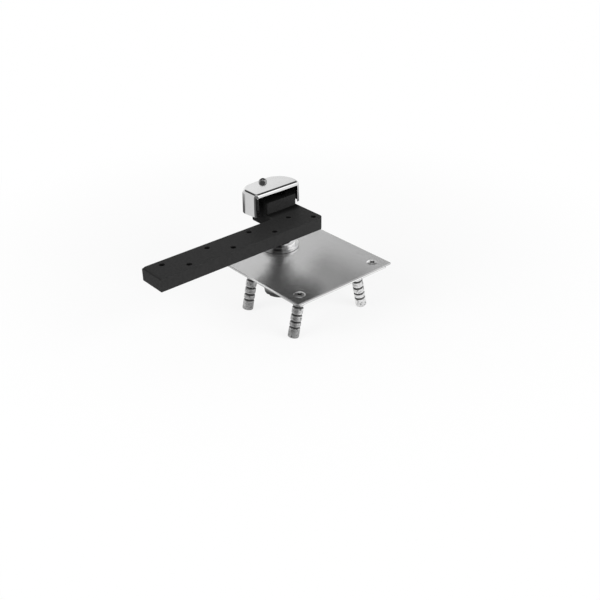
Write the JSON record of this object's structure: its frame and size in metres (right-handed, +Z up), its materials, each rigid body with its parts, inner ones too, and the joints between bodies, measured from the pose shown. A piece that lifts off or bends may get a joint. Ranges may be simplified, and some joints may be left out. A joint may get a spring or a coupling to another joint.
{
  "type": "floor-mounted offset pivot hinge",
  "caption": "Offset pivot hinge for a heavy door: an arm screwed under the door turns on a spindle in a floor-set thrust bearing with anchored plate.",
  "frame": {"origin": "on the pivot axis, at the upper face of the floor plate", "axes": "+Z up along the pivot axis, +X towards the heel (hinge) edge of the closed door, +Y out of the face that the door opens towards"},
  "size_m": [0.2312, 0.1248, 0.1253],
  "materials": {
    "floor_plate": "brushed, satin",
    "base_plate": "bright zinc plated",
    "plate_screws": "bright zinc plated, cross recess",
    "anchors": "dull zinc plated, mottled",
    "housing": "turned, satin",
    "cover_ring": "turned and polished",
    "seal": "matt black rubber",
    "bushes": "sintered bronze, oiled",
    "end_plug": "turned, dull zinc plated",
    "races": "ground bearing steel",
    "ball_cage": "pressed bronze",
    "balls": "polished bearing steel",
    "snap_ring": "black oxide spring steel",
    "spindle": "ground steel, oiled",
    "nuts": "zinc plated",
    "arm": "matt black oxide, fine cast grain",
    "set_screw": "black oxide",
    "cap_post": "zinc plated",
    "cap": "mirror chrome plated sheet",
    "cap_screw": "polished"
  },
  "bodies": {
    "base": {"floor_plate": "floor_plate", "base_plate": "base_plate", "screw_front": "plate_screws", "screw_right": "plate_screws", "screw_back": "plate_screws", "screw_left": "plate_screws", "anchor_front": "anchors", "anchor_right": "anchors", "anchor_back": "anchors", "anchor_left": "anchors", "bearing_housing": "housing", "cover_ring": "cover_ring", "dust_seal": "seal", "upper_bush": "bushes", "lower_bush": "bushes", "end_plug": "end_plug", "lower_race": "races"},
    "door_arm": {"spindle": "spindle", "upper_race": "races", "snap_ring": "snap_ring", "jam_nut": "nuts", "lift_nut": "nuts", "arm": "arm", "set_screw": "set_screw", "cap_post": "cap_post", "cap": "cap", "cap_screw": "cap_screw"},
    "bearing_balls": {"ball_cage": "ball_cage", "balls": "balls"}
  },
  "joints": [
    {"name": "door_swing", "type": "hinge", "parent": "base", "child": "door_arm", "pos_m": [0, 0, 0], "axis": [0, 0, -1], "range_deg": [0, 180]},
    {"name": "cage_turn", "type": "hinge", "parent": "base", "child": "bearing_balls", "pos_m": [0, 0, 0], "axis": [0, 0, -1], "range_deg": [0, 90]}
  ],
  "couplings": [
    {"joint": "cage_turn", "follows": "door_swing", "ratio": 0.5}
  ]
}
